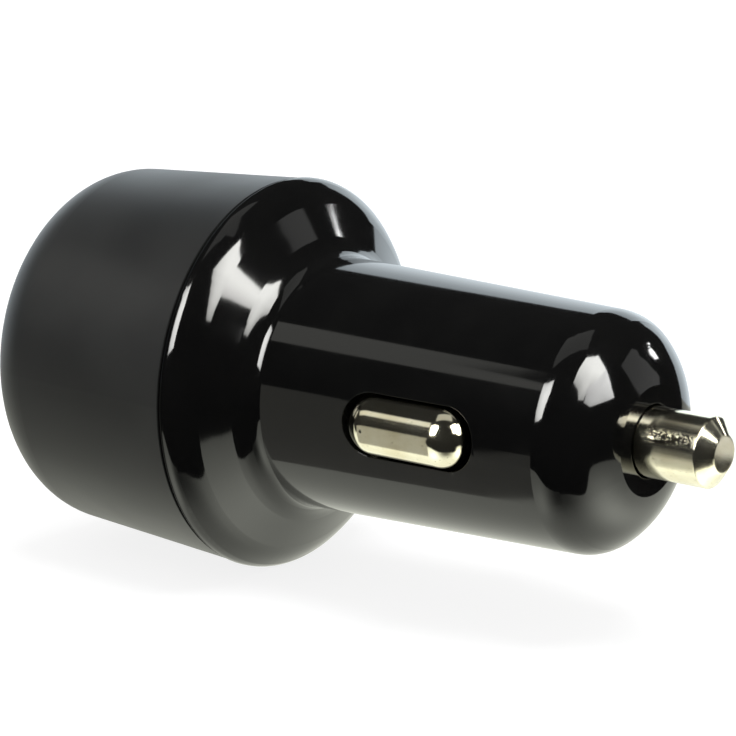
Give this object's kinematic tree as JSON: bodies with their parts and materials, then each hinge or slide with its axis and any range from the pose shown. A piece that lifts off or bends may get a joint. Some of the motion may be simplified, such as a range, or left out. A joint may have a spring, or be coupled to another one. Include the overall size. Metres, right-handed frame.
{
  "type": "car usb charger plug",
  "caption": "Black plug-in car charger: wide matte head with two USB-A ports, glossy collar and barrel, sprung nickel side contacts and sprung centre tip.",
  "frame": {"origin": "centre of the port face, on the surface that the plug stands on", "axes": "+Z along the plug's axis towards its tip; the side contacts face +X and -X, the two ports lie side by side along Y"},
  "size_m": [0.033, 0.033, 0.0646],
  "materials": {
    "soft_black": "soft matte",
    "gloss_black": "high gloss",
    "nickel": "polished nickel plating, slightly warm",
    "spring_steel": "satin",
    "cup_brass": "satin",
    "board_green": "satin solder mask",
    "port_steel": "satin",
    "port_plastic": "matte",
    "port_gold": "gold flash",
    "can_sleeve": "shrunk sleeve",
    "tinned_wire": "bright",
    "ferrite": "dull",
    "copper_wire": "enamelled",
    "chip_black": "moulded",
    "fuse_body": "matte",
    "chip_brown": "matte"
  },
  "bodies": {
    "housing": {"head_cover": "soft_black", "shell": "gloss_black", "tip_spring": "spring_steel", "tip_spring_cup": "cup_brass", "main_board": "board_green", "usb_shell_a": "port_steel", "usb_shell_b": "port_steel", "usb_insulator_a": "port_plastic", "usb_insulator_b": "port_plastic", "usb_contacts_a": "port_gold", "usb_contacts_b": "port_gold", "input_capacitor": "can_sleeve", "output_capacitor": "can_sleeve", "capacitor_leads": "tinned_wire", "inductor_core": "ferrite", "inductor_winding": "copper_wire", "converter_chip": "chip_black", "port_chip": "chip_black", "rectifier_diode": "chip_black", "input_fuse": "fuse_body", "chip_capacitors": "chip_brown", "chip_resistors": "chip_black"},
    "tip": {"tip_contact": "nickel"},
    "right_contact": {"ground_contact_right": "nickel"},
    "left_contact": {"ground_contact_left": "nickel"}
  },
  "joints": [
    {"name": "tip_press", "type": "slide", "parent": "housing", "child": "tip", "axis": [0, 0, -1], "range_m": [0, 0.0025], "stiffness_N_per_m": 1000, "springref_m": -0.0015, "deforming": ["tip_spring"]},
    {"name": "right_contact_press", "type": "hinge", "parent": "housing", "child": "right_contact", "pos_m": [0.00755, 0, 0.0302], "axis": [0, -1, 0], "range_deg": [0, 7.5], "stiffness_Nm_per_rad": 0.35, "springref_deg": -2.86},
    {"name": "left_contact_press", "type": "hinge", "parent": "housing", "child": "left_contact", "pos_m": [-0.00755, 0, 0.0302], "axis": [0, 1, 0], "range_deg": [0, 7.5], "stiffness_Nm_per_rad": 0.35, "springref_deg": -2.86}
  ]
}
